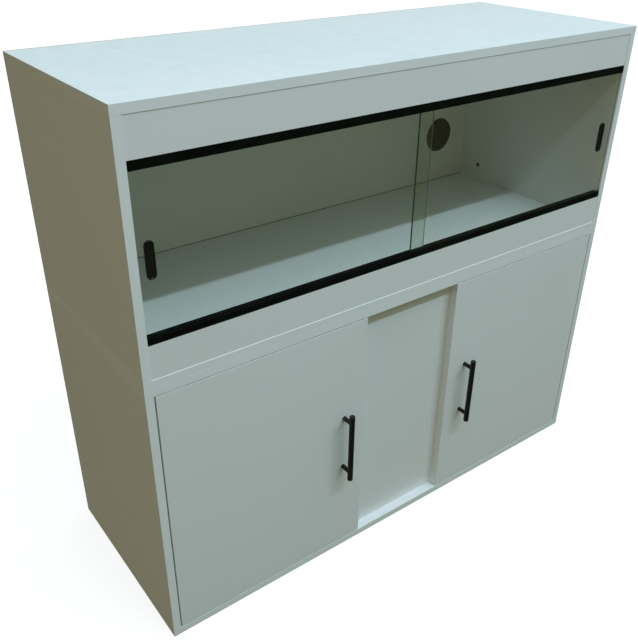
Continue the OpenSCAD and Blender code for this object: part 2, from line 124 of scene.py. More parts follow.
class Surface:
    """A Principled material, with short ways of adding procedural detail to it."""

    def __init__(self, name, colour, roughness, metallic=0.0, **sockets):
        self.material = bpy.data.materials.new(name)
        self.material.use_nodes = True
        self.tree = self.material.node_tree
        self.shader = self.tree.nodes["Principled BSDF"]
        self.shader.inputs["Base Color"].default_value = (*colour, 1)
        self.shader.inputs["Roughness"].default_value = roughness
        self.shader.inputs["Metallic"].default_value = metallic
        for socket, value in sockets.items():
            self.shader.inputs[socket.replace("_", " ")].default_value = value
        self.place = self.add("ShaderNodeTexCoord").outputs["Object"]

    def add(self, kind, **inputs):
        node = self.tree.nodes.new(kind)
        for socket, value in inputs.items():
            node.inputs[socket.replace("_", " ")].default_value = value
        return node

    def link(self, source, target):
        self.tree.links.new(source, target)

    def stretched(self, scale):
        """The place in the object, squeezed or drawn out along its axes."""
        mapping = self.add("ShaderNodeMapping", Scale=scale)
        self.link(self.place, mapping.inputs["Vector"])
        return mapping.outputs["Vector"]

    def noise(self, scale, detail=2.0, roughness=0.5, place=None, distortion=0.0):
        """Cloudy noise from 0 to 1, with `scale` clouds to the metre."""
        node = self.add("ShaderNodeTexNoise", Scale=scale, Detail=detail, Roughness=roughness,
                        Distortion=distortion)
        self.link(place or self.place, node.inputs["Vector"])
        return node.outputs["Fac"]

    def cells(self, scale, place=None):
        """Distance from the middle of each cell, with about `scale` cells to the metre."""
        node = self.add("ShaderNodeTexVoronoi", Scale=scale)
        self.link(place or self.place, node.inputs["Vector"])
        return node.outputs["Distance"]

    def spread(self, source, low, high, start=0.3, end=0.7):
        """Stretches a value from start..end to low..high."""
        node = self.add("ShaderNodeMapRange")
        ends = {"From Min": start, "From Max": end, "To Min": low, "To Max": high}
        for socket, value in ends.items():
            node.inputs[socket].default_value = value
        self.link(source, node.inputs["Value"])
        return node.outputs["Result"]

    def ramp(self, source, *stops):
        """A colour ramp through (position, colour) stops."""
        node = self.add("ShaderNodeValToRGB")
        elements = node.color_ramp.elements
        while len(elements) < len(stops):
            elements.new(0.5)
        for element, (position, colour) in zip(elements, stops):
            element.position = position
            element.color = (*colour, 1)
        self.link(source, node.inputs["Fac"])
        return node.outputs["Color"]

    def mixed(self, factor, a, b):
        """Colour a where the factor is 0 and colour b where it is 1."""
        node = self.add("ShaderNodeMix")
        node.data_type = "RGBA"
        self.link(factor, node.inputs["Factor"])
        for socket, value in ((node.inputs[6], a), (node.inputs[7], b)):
            if isinstance(value, tuple):
                socket.default_value = (*value, 1)
            else:
                self.link(value, socket)
        return node.outputs[2]

    def colour(self, source):
        self.link(source, self.shader.inputs["Base Color"])

    def rough(self, source):
        self.link(source, self.shader.inputs["Roughness"])

    def bump(self, height, depth):
        """Raises the surface by up to `depth` metres, over any bump already there."""
        node = self.add("ShaderNodeBump", Distance=depth)
        normal = self.shader.inputs["Normal"]
        if normal.is_linked:
            self.link(normal.links[0].from_socket, node.inputs["Normal"])
        self.link(height, node.inputs["Height"])
        self.link(node.outputs["Normal"], normal)

    def height_above(self, low, high):
        """From 0 at the height `low` to 1 at `high`, which may be the lower of the two."""
        split = self.add("ShaderNodeSeparateXYZ")
        self.link(self.place, split.inputs["Vector"])
        return self.spread(split.outputs["Z"], 0.0, 1.0, low, high)


def white_melamine():
    """White melamine facing: a fine pearl, faint clouding, and a little floor dust low down."""
    s = Surface("white_melamine", (0.80, 0.815, 0.81), 0.42)
    cloud = s.ramp(s.noise(2.6, 3.0), (0.3, (0.765, 0.79, 0.785)), (0.7, (0.80, 0.80, 0.805)))
    speck = s.spread(s.noise(420.0, 1.0), 0.0, 0.35, 0.62, 0.8)
    flecked = s.mixed(speck, cloud, (0.72, 0.735, 0.73))
    dust = math_node(s.tree, "MULTIPLY", s.spread(s.noise(38.0, 4.0, 0.65), 0.0, 0.3),
                     s.height_above(DUST_HEIGHT, 0.0))
    s.colour(s.mixed(dust, flecked, (0.58, 0.56, 0.51)))
    s.rough(s.spread(s.noise(55.0, 4.0, 0.6), 0.36, 0.5))
    s.bump(s.noise(750.0, 2.0, 0.55), 0.012 * MM)
    s.bump(s.noise(5.0, 1.0), 0.05 * MM)
    return s.material


def white_edging():
    """ABS edging, a shade brighter and smoother than the facing, with lengthwise drawing marks."""
    s = Surface("white_edging", (0.83, 0.85, 0.85), 0.34)
    s.colour(s.ramp(s.noise(7.0, 3.0), (0.3, (0.80, 0.83, 0.83)), (0.7, (0.84, 0.855, 0.86))))
    s.rough(s.spread(s.noise(70.0, 3.0), 0.28, 0.42))
    s.bump(s.noise(500.0, 2.0), 0.02 * MM)
    return s.material


def chipboard():
    """The raw core of a board: pale and dark wood flakes pressed together."""
    s = Surface("chipboard", (0.55, 0.41, 0.26), 0.85)
    flakes = s.cells(420.0, place=s.stretched((1.0, 1.0, 2.2)))
    s.colour(s.ramp(flakes, (0.0, (0.24, 0.155, 0.085)), (0.35, (0.48, 0.34, 0.20)),
                    (0.9, (0.68, 0.53, 0.35))))
    s.bump(flakes, 0.35 * MM)
    return s.material


def painted_shade_bore():
    """The bore of the cable hole: chipboard flakes darkened nearly to black, as painted shade inside
    the hole.
    """
    s = Surface("painted_shade_bore", (0.05, 0.038, 0.025), 0.8)
    flakes = s.cells(420.0)
    s.colour(s.ramp(flakes, (0.0, (0.014, 0.011, 0.008)), (0.9, (0.075, 0.055, 0.035))))
    s.bump(flakes, 0.3 * MM)
    return s.material


def raw_hardboard():
    """The brown outer face of hardboard, with its pressed fibres."""
    s = Surface("raw_hardboard", (0.30, 0.19, 0.11), 0.72)
    fibre = s.noise(260.0, 5.0, 0.7, place=s.stretched((1.0, 1.0, 3.0)), distortion=1.2)
    broad = s.ramp(s.noise(5.0, 4.0), (0.3, (0.235, 0.145, 0.082)), (0.7, (0.31, 0.20, 0.118)))
    s.colour(s.mixed(s.spread(fibre, 0.0, 0.6), broad, (0.42, 0.29, 0.18)))
    s.rough(s.spread(fibre, 0.6, 0.85))
    s.bump(fibre, 0.12 * MM)
    s.bump(s.cells(900.0), 0.05 * MM)
    return s.material


def painted_hardboard():
    """The white lacquered inner face of the backs, and a painted shadow line along the vivarium's
    floor.
    """
    s = Surface("painted_hardboard", (0.74, 0.76, 0.74), 0.5)
    # the lacquer is white; its yellowish tint here is painted warm shade, the colour of the light
    # inside the vivarium
    lacquer_and_warm_shade = s.ramp(s.noise(4.0, 3.0), (0.3, (0.73, 0.745, 0.68)), (0.7, (0.765, 0.765, 0.70)))
    # painted shadow: a thin dark band at the foot of the back, where it meets the vivarium's floor
    joint_shadow = math_node(s.tree, "MULTIPLY", s.height_above(JOINT_SHADOW_LOW, JOINT_SHADOW_LOW + 0.8 * MM),
                      s.height_above(JOINT_SHADOW_HIGH, JOINT_SHADOW_HIGH - 1.0 * MM))
    s.colour(s.mixed(joint_shadow, lacquer_and_warm_shade, (0.10, 0.105, 0.085)))
    s.rough(s.spread(s.noise(60.0, 3.0), 0.42, 0.6))
    s.bump(s.noise(300.0, 3.0, 0.6), 0.05 * MM)
    return s.material


def black_extrusion():
    """Black PVC track with the fine lengthwise lines of its die."""
    s = Surface("black_extrusion", (0.003, 0.004, 0.004), 0.36, Specular_IOR_Level=0.1)
    lines = s.noise(900.0, 2.0, place=s.stretched((0.004, 1.0, 1.0)))
    s.colour(s.ramp(s.noise(30.0, 4.0), (0.35, (0.0015, 0.0028, 0.002)),
                    (0.75, (0.005, 0.0065, 0.0055))))
    s.rough(s.spread(s.noise(140.0, 3.0), 0.3, 0.46))
    s.bump(lines, 0.06 * MM)
    return s.material


def black_moulding():
    """Smooth black plastic, as on the finger pulls and the vent."""
    s = Surface("black_moulding", (0.006, 0.007, 0.007), 0.24, Specular_IOR_Level=0.3)
    s.colour(s.ramp(s.noise(90.0, 3.0), (0.3, (0.004, 0.005, 0.0045)), (0.7, (0.008, 0.009, 0.0085))))
    s.rough(s.spread(s.noise(260.0, 3.0), 0.18, 0.34))
    s.bump(s.noise(1600.0, 2.0), 0.004 * MM)
    return s.material


def vent_plastic():
    """The vent's shinier black plastic, with a film of dust that catches the light."""
    s = Surface("vent_plastic", (0.003, 0.004, 0.003), 0.3, Specular_IOR_Level=0.25)
    s.colour(s.ramp(s.noise(70.0, 4.0, 0.65), (0.35, (0.0015, 0.002, 0.0015)),
                    (0.75, (0.006, 0.007, 0.005))))
    s.rough(s.spread(s.noise(160.0, 3.0), 0.2, 0.42))
    return s.material


def black_powder_coat():
    """Satin black powder coat with its orange peel."""
    s = Surface("black_powder_coat", (0.006, 0.007, 0.0075), 0.4, Specular_IOR_Level=0.3)
    s.colour(s.ramp(s.noise(120.0, 2.0), (0.3, (0.004, 0.005, 0.005)), (0.7, (0.009, 0.010, 0.010))))
    s.rough(s.spread(s.noise(500.0, 2.0), 0.34, 0.5))
    s.bump(s.noise(1300.0, 2.0), 0.04 * MM)
    return s.material


def sheet_glass():
    """Float glass with a breath of green and a few faint wipe marks. Its tint is deeper than real
    glass: partly painted shade, darkening and yellowing the view inside in place of the shadow that
    the panes don't cast.
    """
    s = Surface("sheet_glass", (0.88, 0.94, 0.86), 0.0, Transmission_Weight=1.0, IOR=1.5)
    wipes = s.noise(9.0, 5.0, 0.7, place=s.stretched((1.0, 1.0, 0.35)), distortion=2.0)
    s.rough(s.spread(wipes, 0.0, 0.035, 0.55, 0.8))
    return s.material


def glass_edge():
    """The ground edge of the glass, where the green shows."""
    s = Surface("glass_edge", (0.07, 0.17, 0.11), 0.22, Transmission_Weight=0.45, IOR=1.5)
    s.colour(s.ramp(s.noise(60.0, 3.0), (0.3, (0.035, 0.10, 0.065)), (0.7, (0.08, 0.18, 0.12))))
    s.rough(s.spread(s.noise(800.0, 2.0), 0.15, 0.32))
    return s.material


def nickel():
    """Nickel-plated pressing, softly mottled, with fine drawing marks."""
    s = Surface("nickel", (0.66, 0.65, 0.62), 0.27, metallic=1.0)
    s.colour(s.ramp(s.noise(140.0, 4.0), (0.3, (0.58, 0.57, 0.54)), (0.7, (0.70, 0.69, 0.66))))
    s.rough(s.spread(s.noise(420.0, 3.0), 0.2, 0.38))
    s.bump(s.noise(1500.0, 2.0, place=s.stretched((1.0, 0.08, 1.0))), 0.012 * MM)
    return s.material


def zinc():
    """Bright zinc plate, a little blue and yellow in patches."""
    s = Surface("zinc", (0.62, 0.63, 0.64), 0.32, metallic=1.0)
    s.colour(s.ramp(s.noise(320.0, 3.0), (0.3, (0.55, 0.58, 0.62)), (0.7, (0.68, 0.66, 0.58))))
    s.rough(s.spread(s.noise(700.0, 3.0), 0.24, 0.45))
    s.bump(s.noise(2200.0, 2.0), 0.012 * MM)
    return s.material


def beech():
    """Beech dowel, grain along its length and short dark flecks."""
    s = Surface("beech", (0.62, 0.43, 0.27), 0.6)
    grain = s.noise(420.0, 3.0, 0.6, place=s.stretched((1.0, 1.0, 0.08)))
    s.colour(s.ramp(grain, (0.3, (0.50, 0.33, 0.19)), (0.7, (0.70, 0.51, 0.33))))
    s.bump(grain, 0.06 * MM)
    return s.material


MELAMINE = white_melamine()
EDGING = white_edging()
CHIPBOARD = chipboard()
PAINTED_SHADE_BORE = painted_shade_bore()
RAW_HARDBOARD = raw_hardboard()
PAINTED_HARDBOARD = painted_hardboard()
BLACK_EXTRUSION = black_extrusion()
BLACK_MOULDING = black_moulding()
VENT_PLASTIC = vent_plastic()
BLACK_COAT = black_powder_coat()
GLASS = sheet_glass()
GLASS_EDGE = glass_edge()
NICKEL = nickel()
ZINC = zinc()
BEECH = beech()


# ---- mesh tools -----------------------------------------------------------------

def add_loft(bm, loops, slot=0):
    """A closed solid through loops of equal length, or of one point where it comes to a tip."""
    rings = [[bm.verts.new(point) for point in loop] for loop in loops]
    faces = []
    for low, high in zip(rings, rings[1:]):
        count = max(len(low), len(high))
        for i in range(count):
            j = i + 1
            corners = [low[i % len(low)], low[j % len(low)], high[j % len(high)], high[i % len(high)]]
            faces.append(bm.faces.new(list(dict.fromkeys(corners))))
    for ring in (rings[0], rings[-1]):
        if len(ring) > 2:
            faces.append(bm.faces.new(ring))
    for face in faces:
        face.material_index = slot
    bmesh.ops.recalc_face_normals(bm, faces=faces)
    return faces


def rounded(points, radii, steps=4):
    """A flat outline with its corners rounded, each to its own radius."""
    outline = []
    for i, corner in enumerate(points):
        radius = radii[i] if isinstance(radii, (list, tuple)) else radii
        if radius <= 0:
            outline.append(Vector(corner))
            continue
        here = Vector(corner)
        start = here + (Vector(points[i - 1]) - here).normalized() * radius
        end = here + (Vector(points[(i + 1) % len(points)]) - here).normalized() * radius
        for step in range(steps + 1):
            t = step / steps
            outline.append((1 - t) ** 2 * start + 2 * t * (1 - t) * here + t ** 2 * end)
    return outline


def along(axis, outline, low, high):
    """Two copies of an outline in the other two axes, one at each end of a stretch along `axis`."""
    others = [a for a in (X, Y, Z) if a != axis]

    def at(value, point):
        place = [0.0, 0.0, 0.0]
        place[axis] = value
        place[others[0]], place[others[1]] = point
        return Vector(place)
    return [[at(value, point) for point in outline] for value in (low, high)]


def add_block(bm, lo, hi, radius, slot=0):
    """A block with every edge rounded."""
    before = set(bm.faces)
    centre = (lo + hi) / 2
    made = bmesh.ops.create_cube(bm, size=1.0, matrix=Matrix.LocRotScale(centre, None, hi - lo))
    edges = list(dict.fromkeys(edge for vert in made["verts"] for edge in vert.link_edges))
    bmesh.ops.bevel(bm, geom=edges, offset=radius, segments=2, profile=0.5, affect="EDGES")
    for face in bm.faces:
        if face not in before:
            face.material_index = slot


def add_lathe(bm, profile, place, slot=0, segments=32):
    """Turns (radius, height) points about local Z and puts the result in place."""
    loops = []
    for radius, height in profile:
        if radius <= 0:
            loops.append([place @ Vector((0, 0, height))])
            continue
        loops.append([place @ Vector((radius * math.cos(a), radius * math.sin(a), height))
                      for a in (2 * math.pi * i / segments for i in range(segments))])
    return add_loft(bm, loops, slot)


def facing(point, direction):
    """A place at `point` whose local Z looks along `direction`."""
    return Matrix.Translation(point) @ Vector(direction).to_track_quat("Z", "Y").to_matrix().to_4x4()


def mesh_object(name, bm, materials):
    """An object in the scene made from a bmesh, which is used up."""
    mesh = bpy.data.meshes.new(name)
    bm.to_mesh(mesh)
    bm.free()
    for material in materials:
        mesh.materials.append(material)
    piece = bpy.data.objects.new(name, mesh)
    bpy.context.scene.collection.objects.link(piece)
    return piece


def smooth(piece):
    """Smooth shading that keeps flat faces flat and sharp edges sharp."""
    for face in piece.data.polygons:
        face.use_smooth = True
    piece.data.set_sharp_from_angle(angle=SHARP_FROM)
    weighted = piece.modifiers.new("weighted_normals", "WEIGHTED_NORMAL")
    weighted.keep_sharp = True
    return piece


def stand_for(piece, node):
    """The piece takes a CAD node's place and body, and the node is hidden."""
    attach(piece, BODY_OF[node])
    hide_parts(node)
    return piece


def finished(node, bm, *materials):
    """The finished piece that stands for a CAD node."""
    return stand_for(smooth(mesh_object(node + "_finished", bm, materials)), node)


def drilled(bm, holes, slot, slots):
    """Cuts round holes, each (start, end, radius), whose walls take one of the piece's `slots`."""
    cutter_bm = bmesh.new()
    for start, end, radius in holes:
        length = (end - start).length
        add_lathe(cutter_bm, [(radius, 0.0), (radius, length)], facing(start, end - start), slot, 48)
    blanks = [None] * slots
    target = mesh_object("drilled_target", bm, blanks)
    cutter = mesh_object("drilled_cutter", cutter_bm, blanks)
    cut = target.modifiers.new("holes", "BOOLEAN")
    cut.operation = "DIFFERENCE"
    cut.solver = "EXACT"
    cut.object = cutter
    result = bmesh.new()
    result.from_object(target, bpy.context.evaluated_depsgraph_get())
    for spent in (target, cutter):
        bpy.data.objects.remove(spent)
    return result


def solids(node):
    """The vertex places of each separate solid in a CAD node."""
    bm = bmesh.new()
    bm.from_mesh(frame["nodes"][node].data)
    bmesh.ops.remove_doubles(bm, verts=bm.verts, dist=MERGE)
    found, seen = [], set()
    for first in bm.verts:
        if first in seen:
            continue
        seen.add(first)
        reached, queue = [], [first]
        while queue:
            vert = queue.pop()
            reached.append(vert.co.copy())
            for edge in vert.link_edges:
                other = edge.other_vert(vert)
                if other not in seen:
                    seen.add(other)
                    queue.append(other)
        found.append(reached)
    bm.free()
    return found


def rod_of(points, axis=None):
    """(tail, head, tail radius, head radius) of a pin or screw, by default along its longest side."""
    lo = Vector(map(min, *points))
    hi = Vector(map(max, *points))
    if axis is None:
        axis = max((X, Y, Z), key=lambda a: hi[a] - lo[a])
    middle = (lo + hi) / 2
    ends = []
    for value in (lo[axis], hi[axis]):
        end = middle.copy()
        end[axis] = value
        radius = max((p - end).length for p in points if abs(p[axis] - value) < 0.05 * MM)
        ends.append((radius, end))
    ends.sort(key=lambda item: item[0])
    return ends[0][1], ends[1][1], ends[0][0], ends[1][0]


# ---- boards ---------------------------------------------------------------------

def edging_strip(bm, lo, hi, outward, side, slot):
    """Edging whose two outer long corners are rounded. It runs along its longest axis."""
    size = hi - lo
    length = max((X, Y, Z), key=lambda a: size[a])
    plane = [a for a in (X, Y, Z) if a != length]
    corners = [(0, 0), (1, 0), (1, 1), (0, 1)]
    points = [(lo[plane[0]] + u * size[plane[0]], lo[plane[1]] + v * size[plane[1]])
              for u, v in corners]
    outer = 1 if side > 0 else 0
    radii = [EDGING_ROUND if corner[plane.index(outward)] == outer else 0.0 for corner in corners]
    add_loft(bm, along(length, rounded(points, radii), lo[length], hi[length]), slot)


def board(node, edged=(), holes=(), bore=None):
    """A faced board with the edges in `edged` banded, and `holes` whose walls are of `bore`."""
    lo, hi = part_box(node)
    core_lo, core_hi = lo.copy(), hi.copy()
    strips = []
    for axis, side in edged:
        strip_lo, strip_hi = core_lo.copy(), core_hi.copy()
        if side < 0:
            strip_hi[axis] = core_lo[axis] + EDGING_T
            core_lo[axis] += EDGING_T
        else:
            strip_lo[axis] = core_hi[axis] - EDGING_T
            core_hi[axis] -= EDGING_T
        strips.append((strip_lo, strip_hi, axis, side))
    bm = bmesh.new()
    add_block(bm, core_lo, core_hi, CORE_ROUND)
    if holes:
        bm = drilled(bm, holes, 2, 3)
    for strip in strips:
        edging_strip(bm, *strip, 1)
    return finished(node, bm, MELAMINE, EDGING, bore or CHIPBOARD)


def node_hole(node, axis, centre, radius):
    """A hole right through a node's board along one axis."""
    lo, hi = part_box(node)
    start, end = Vector(centre), Vector(centre)
    start[axis] = lo[axis] - HOLE_OVERSHOOT
    end[axis] = hi[axis] + HOLE_OVERSHOOT
    return start, end, radius


def carcass_boards():
    """Every melamine board but the doors, with the cable hole in the vivarium's right side."""
    for node in ("vivarium_floor", "vivarium_top", "cabinet_top"):
        board(node, (FRONT, LEFT, RIGHT))
    for node in ("vivarium_left_side", "cabinet_left_side", "cabinet_right_side", "cabinet_floor"):
        board(node, (FRONT,))
    for node in ("top_fascia", "bottom_fascia", "centre_panel", "left_divider", "right_divider"):
        board(node)
    mount = next(m for m in frame["record"]["mounts"] if m["name"] == "cable_hole")
    hole = node_hole("vivarium_right_side", X, mount["pos_m"], mount["dims"]["r_mm"] * MM)
    # the cable hole's bore is nearly black: painted shade inside the hole
    board("vivarium_right_side", (FRONT,), (hole,), PAINTED_SHADE_BORE)


def back_panel(node, vent=None):
    """Hardboard, lacquered inside and raw outside, with the vent's hole where there is one."""
    lo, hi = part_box(node)
    bm = bmesh.new()
    add_block(bm, lo, hi, HARDBOARD_ROUND, 1)
    if vent:
        vent_lo, vent_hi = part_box(vent)
        centre = (vent_lo + vent_hi) / 2
        bm = drilled(bm, (node_hole(node, Y, centre, VENT_COLLAR_R),), 1, 2)
    for face in bm.faces:
        if face.normal.y < -0.9:
            face.material_index = 0
    return finished(node, bm, PAINTED_HARDBOARD, RAW_HARDBOARD)


# ---- glass front and vent -------------------------------------------------------

def glass_track(node, opens_up):
    """An extruded twin-groove track, its wall tips rounded."""
    lo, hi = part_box(node)
    width = hi.y - lo.y
    height = hi.z - lo.z
    rib = [TRACK_WALL, TRACK_WALL + GROOVE, width - TRACK_WALL - GROOVE, width - TRACK_WALL]
    points = [(0, 0), (width, 0), (width, height),
              (rib[3], height), (rib[3], TRACK_WEB), (rib[2], TRACK_WEB), (rib[2], height),
              (rib[1], height), (rib[1], TRACK_WEB), (rib[0], TRACK_WEB), (rib[0], height),
              (0, height)]
    radii = [TIP_ROUND if z == height else TRACK_ROUND for _, z in points]
    outline = [(lo.y + p.x, lo.z + p.y if opens_up else hi.z - p.y) for p in rounded(points, radii)]
    bm = bmesh.new()
    add_loft(bm, along(X, outline, lo.x, hi.x))
    return finished(node, bm, BLACK_EXTRUSION)


def pane(node):
    """Float glass with rounded corners and ground arrises."""
    lo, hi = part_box(node)

    def outline(depth, inset):
        points = [(lo.x + inset, lo.z + inset), (hi.x - inset, lo.z + inset),
                  (hi.x - inset, hi.z - inset), (lo.x + inset, hi.z - inset)]
        return [Vector((p.x, depth, p.y)) for p in rounded(points, PANE_CORNER - inset, 6)]
    bm = bmesh.new()
    add_loft(bm, [outline(lo.y, PANE_ARRIS), outline(lo.y + PANE_ARRIS, 0.0),
                  outline(hi.y - PANE_ARRIS, 0.0), outline(hi.y, PANE_ARRIS)])
    for face in bm.faces:
        face.material_index = 0 if abs(face.normal.y) > 0.99 else 1
    piece = mesh_object(node + "_finished", bm, (GLASS, GLASS_EDGE))
    piece.visible_shadow = False
    piece.visible_diffuse = False
    return stand_for(piece, node)


def stadium(centre, length, width, depth, steps=12):
    """An upright outline with round ends, at a given depth."""
    radius = width / 2
    points = []
    for end, start in ((1, 0.0), (-1, math.pi)):
        for i in range(steps + 1):
            angle = start + math.pi * i / steps
            points.append(Vector((centre.x + radius * math.cos(angle), depth,
                                  centre.z + end * (length / 2 - radius) + radius * math.sin(angle))))
    return points


def finger_pull(node):
    """A moulded pull with a soft rim and a dished middle."""
    lo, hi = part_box(node)
    centre = (lo + hi) / 2
    length, width, thick = hi.z - lo.z, hi.x - lo.x, hi.y - lo.y
    # (how far in, as a share of the width; how far out of the glass, as a share of the thickness)
    section = [(0.0, 0.0), (0.0, 0.7), (0.05, 0.92), (0.12, 1.0), (0.22, 0.98), (0.28, 0.82),
               (0.34, 0.60), (0.42, 0.48), (0.60, 0.42), (0.80, 0.40)]
    bm = bmesh.new()
    add_loft(bm, [stadium(centre, length - inset * width, width * (1 - inset), hi.y - rise * thick)
                  for inset, rise in section])
    return finished(node, bm, BLACK_MOULDING)


def round_vent():
    """A push-in vent: flange, collar through the back, and upright blades."""
    node = "round_vent"
    lo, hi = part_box(node)
    centre = (lo + hi) / 2
    outer, collar, inner = VENT_FLANGE_R, VENT_COLLAR_R, VENT_OPENING_R
    back_lo, back_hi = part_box("vivarium_back")
    bm = bmesh.new()
    front, face, rear = back_lo.y - lo.y, 0.0, back_lo.y - back_hi.y
    ring = [(inner, rear), (collar, rear), (collar, face), (outer, face), (outer, front - 1.4 * MM),
            (outer - 0.6 * MM, front - 0.6 * MM), (outer - 2.0 * MM, front), (inner + 1.2 * MM, front),
            (inner + 0.3 * MM, front - 0.3 * MM), (inner, front - 1.2 * MM)]
    add_ring(bm, ring, facing(Vector((centre.x, back_lo.y, centre.z)), (0, -1, 0)))
    pitch = 2 * inner / VENT_BLADES
    half = (pitch + VENT_BLADE_OVERLAP) / 2
    for i in range(VENT_BLADES):
        add_blade(bm, centre, (i + 0.5) * pitch - inner, half, inner + 0.5 * MM)
    return finished(node, bm, VENT_PLASTIC)


def add_ring(bm, profile, place, segments=64):
    """Turns a closed (radius, height) outline that keeps clear of the axis."""
    rings = [[bm.verts.new(place @ Vector((r * math.cos(a), r * math.sin(a), h))) for r, h in profile]
             for a in (2 * math.pi * i / segments for i in range(segments))]
    faces = []
    for i, here in enumerate(rings):
        there = rings[(i + 1) % segments]
        for j in range(len(profile)):
            k = (j + 1) % len(profile)
            faces.append(bm.faces.new((here[j], here[k], there[k], there[j])))
    bmesh.ops.recalc_face_normals(bm, faces=faces)


def add_blade(bm, centre, offset, half, reach):
    """A blade turned about an upright axis, cut to the vent's round opening."""
    steps = 8
    turn = VENT_BLADE_TURN
    shortest = 2 * MM
    across = [half * (2 * i / steps - 1) for i in range(steps + 1)]
    top = []
    for u in across:
        x = offset + u * math.cos(turn)
        top.append((u, math.sqrt(max(reach ** 2 - x ** 2, shortest ** 2))))
    outline = top + [(u, -z) for u, z in reversed(top)]

    def at(u, v, z):
        return centre + Vector((offset + u * math.cos(turn) - v * math.sin(turn),
                                u * math.sin(turn) + v * math.cos(turn), z))
    add_loft(bm, [[at(u, side * VENT_BLADE_T / 2, z) for u, z in outline] for side in (-1, 1)])


# ---- handles, hinges and fasteners ----------------------------------------------

def handle_bar(node):
    """A solid bar with softly chamfered ends."""
    lo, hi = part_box(node)
    centre = (lo + hi) / 2
    radius, length = (hi.x - lo.x) / 2, hi.z - lo.z
    end = [(0.0, 0.0), (radius - 1.3 * MM, 0.0), (radius - 0.6 * MM, 0.15 * MM),
           (radius - 0.15 * MM, 0.6 * MM), (radius, 1.3 * MM)]
    profile = end + [(r, length - h) for r, h in reversed(end)]
    bm = bmesh.new()
    add_lathe(bm, profile, facing(Vector((centre.x, centre.y, lo.z)), (0, 0, 1)), segments=40)
    return finished(node, bm, BLACK_COAT)


def handle_posts(node):
    """Two posts that stand on the door and run into the bar."""
    bm = bmesh.new()
    for points in solids(node):
        lo, hi = Vector(map(min, *points)), Vector(map(max, *points))
        centre = (lo + hi) / 2
        radius, length = (hi.x - lo.x) / 2, hi.y - lo.y
        profile = [(0.0, 0.0), (radius - 0.1 * MM, 0.0), (radius, 0.15 * MM), (radius, length),
                   (0.0, length)]
        add_lathe(bm, profile, facing(Vector((centre.x, hi.y, centre.z)), (0, -1, 0)))
    return finished(node, bm, BLACK_COAT)


def cross_head(bm, place, radius, height):
    """A screw head with a cross recess. Local Z looks out of the head."""
    arm, slot_half, depth = radius * 0.55, radius * 0.13, height * 0.7
    flat = 0.86     # share of the radius where the flat top ends
    segments = 32
    cross = [(arm, -slot_half), (arm, slot_half), (slot_half, slot_half),
             (slot_half, arm), (-slot_half, arm), (-slot_half, slot_half),
             (-arm, slot_half), (-arm, -slot_half), (-slot_half, -slot_half),
             (-slot_half, -arm), (slot_half, -arm), (slot_half, -slot_half)]
    rim = [(radius * flat * math.cos(a), radius * flat * math.sin(a))
           for a in (2 * math.pi * i / segments for i in range(segments))]
    top_edges, outlines = [], []
    for outline in (rim, cross):
        verts = [bm.verts.new(place @ Vector((x, y, height))) for x, y in outline]
        top_edges += [bm.edges.new((verts[i], verts[(i + 1) % len(verts)])) for i in range(len(verts))]
        outlines.append(verts)
    below, cross_verts = outlines
    filled = bmesh.ops.triangle_fill(bm, edges=top_edges, use_beauty=True, use_dissolve=False)
    faces = [item for item in filled["geom"] if isinstance(item, bmesh.types.BMFace)]
    floor = [bm.verts.new(place @ Vector((x * 0.8, y * 0.8, height - depth))) for x, y in cross]
    count = len(cross)
    for i in range(count):
        j = (i + 1) % count
        faces.append(bm.faces.new((cross_verts[i], cross_verts[j], floor[j], floor[i])))
    faces.append(bm.faces.new(floor))
    for scale, level in ((0.97, 0.72), (1.0, 0.4), (1.0, 0.0)):
        ring = [bm.verts.new(place @ Vector((x * scale / flat, y * scale / flat, height * level)))
                for x, y in rim]
        for i in range(segments):
            j = (i + 1) % segments
            faces.append(bm.faces.new((below[i], below[j], ring[j], ring[i])))
        below = ring
    faces.append(bm.faces.new(below))
    bmesh.ops.recalc_face_normals(bm, faces=faces)


def screws(node, head_h, axis=None):
    """Cross-headed screws with a thread, in the places of the node's own solids."""
    bm = bmesh.new()
    for points in solids(node):
        tail, head, shank_r, head_r = rod_of(points, axis)
        out = (head - tail).normalized()
        length = (head - tail).length
        if length > 2 * head_h:
            root, pitch = shank_r * SCREW_ROOT, SCREW_PITCH
            profile = [(0.0, 0.0), (root, SCREW_TIP)]
            turns = int((length - head_h - SCREW_TIP) / pitch) - 1
            for i in range(turns):
                start = SCREW_TIP + i * pitch
                profile += [(root, start + 0.2 * pitch), (shank_r, start + 0.6 * pitch),
                            (root, start + pitch)]
            profile += [(root, length - head_h), (0.0, length - head_h)]
            add_lathe(bm, profile, facing(tail, out), segments=20)
        cross_head(bm, facing(head - out * head_h, out), head_r, head_h)
    return finished(node, bm, ZINC)


def nails(node):
    """Flat-headed nails whose low domes stand just off the back."""
    bm = bmesh.new()
    for points in solids(node):
        tail, head, shank_r, head_r = rod_of(points)
        length = (head - tail).length
        profile = [(0.0, 0.0), (shank_r, NAIL_POINT), (shank_r, length - NAIL_NECK),
                   (head_r, length - NAIL_HEAD_T), (head_r, length),
                   (head_r * 0.8, length + 0.7 * NAIL_DOME), (0.0, length + NAIL_DOME)]
        add_lathe(bm, profile, facing(tail, head - tail), segments=24)
    return finished(node, bm, ZINC)


